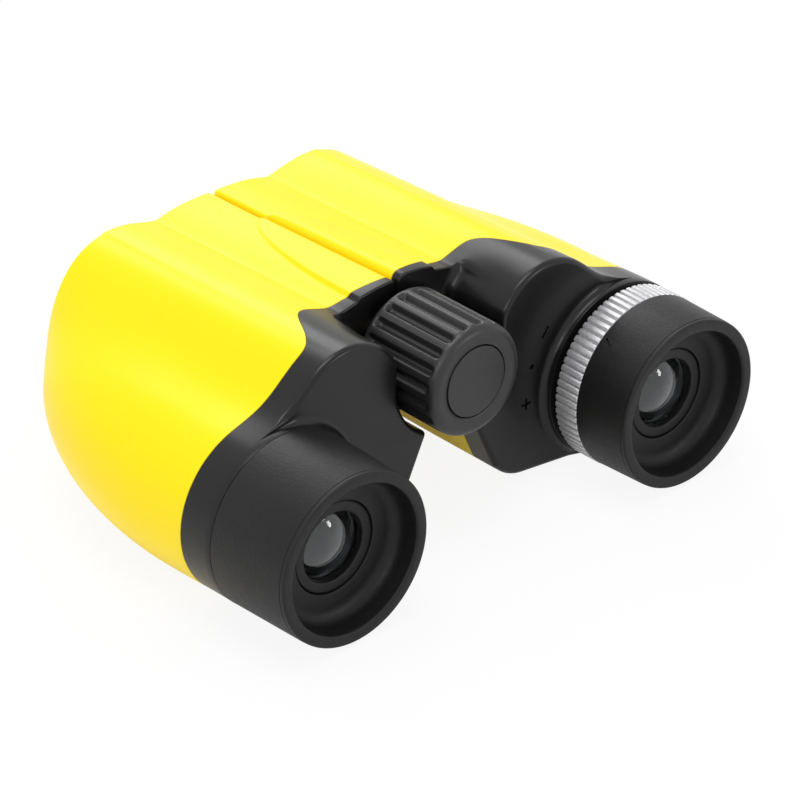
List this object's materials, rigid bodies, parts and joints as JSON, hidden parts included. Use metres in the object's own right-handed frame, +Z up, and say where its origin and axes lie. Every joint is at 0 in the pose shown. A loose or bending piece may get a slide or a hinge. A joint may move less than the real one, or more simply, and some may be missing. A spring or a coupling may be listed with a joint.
{
  "type": "toy binoculars",
  "caption": "Compact toy binoculars with offset barrels, a folding centre hinge, a fluted focus wheel, rubber eyecups and a knurled dioptre ring.",
  "frame": {"origin": "on the table under the middle of the part, at the centre of the base of its box", "axes": "+X to the user's right, +Y from the eyes to the view, +Z up"},
  "size_m": [0.0971, 0.0734, 0.0375],
  "materials": {
    "shell_yellow": "glossy moulded plastic",
    "housing_black": "smooth satin moulded plastic",
    "eyecup_rubber": "fine grained soft rubber",
    "ring_silver": "satin, knurled",
    "wheel_black": "satin, fluted",
    "inner_black": "matte",
    "lens_glass": "polished and coated",
    "prism_glass": "polished",
    "steel": "plain turned",
    "brass": "plain turned"
  },
  "bodies": {
    "left_half": {"left_body_shell": "shell_yellow", "left_rear_housing": "housing_black", "left_eyecup": "eyecup_rubber", "left_lens_tube": "inner_black", "left_eye_lens": "lens_glass", "left_lens_spacer": "inner_black", "left_field_lens": "lens_glass", "left_lens_retainer": "inner_black", "left_prism_shelf": "inner_black", "left_rear_prism": "prism_glass", "left_front_prism": "prism_glass", "left_prism_clips": "steel", "left_shelf_screws": "steel", "left_objective_tube": "inner_black", "left_front_bezel": "inner_black", "hinge_shaft": "steel", "hinge_clip": "steel", "front_hinge_pin": "steel"},
    "right_half": {"right_body_shell": "shell_yellow", "right_rear_housing": "housing_black", "right_prism_shelf": "inner_black", "right_rear_prism": "prism_glass", "right_front_prism": "prism_glass", "right_prism_clips": "steel", "right_shelf_screws": "steel", "right_objective_tube": "inner_black", "right_front_bezel": "inner_black"},
    "focus_wheel": {"focus_knob": "wheel_black", "knob_cap": "wheel_black", "focus_screw": "brass"},
    "left_carriage": {"focus_nut": "brass", "nut_clip": "steel", "left_objective_cell": "inner_black", "left_objective_lens": "lens_glass", "left_objective_retainer": "inner_black"},
    "right_carriage": {"right_focus_arm": "brass", "right_objective_cell": "inner_black", "right_objective_lens": "lens_glass", "right_objective_retainer": "inner_black"},
    "right_eyepiece": {"right_lens_tube": "inner_black", "right_eye_lens": "lens_glass", "right_lens_spacer": "inner_black", "right_field_lens": "lens_glass", "right_lens_retainer": "inner_black"},
    "diopter": {"diopter_ring": "ring_silver", "right_eyecup": "eyecup_rubber"}
  },
  "joints": [
    {"name": "eye_distance", "type": "hinge", "parent": "left_half", "child": "right_half", "pos_m": [0, 0, 0.02665], "axis": [0, 1, 0], "range_deg": [0, 40]},
    {"name": "focus_turn", "type": "hinge", "parent": "left_half", "child": "focus_wheel", "pos_m": [0, 0, 0.02665], "axis": [0, 1, 0], "range_deg": [-180, 180]},
    {"name": "left_focus_slide", "type": "slide", "parent": "left_half", "child": "left_carriage", "axis": [0, 1, 0], "range_m": [-0.0016, 0.0016]},
    {"name": "right_focus_slide", "type": "slide", "parent": "right_half", "child": "right_carriage", "axis": [0, 1, 0], "range_m": [-0.0016, 0.0016]},
    {"name": "right_eyepiece_slide", "type": "slide", "parent": "right_half", "child": "right_eyepiece", "axis": [0, 1, 0], "range_m": [-0.0005, 0.0005]},
    {"name": "diopter_turn", "type": "hinge", "parent": "right_eyepiece", "child": "diopter", "pos_m": [0.03415, 0, 0.01465], "axis": [0, 1, 0], "range_deg": [-60, 60]}
  ],
  "couplings": [
    {"joint": "focus_turn", "follows": "left_focus_slide", "rad_per_m": 1963.4},
    {"joint": "right_focus_slide", "follows": "left_focus_slide", "ratio": 1},
    {"joint": "diopter_turn", "follows": "right_eyepiece_slide", "rad_per_m": 2094}
  ]
}
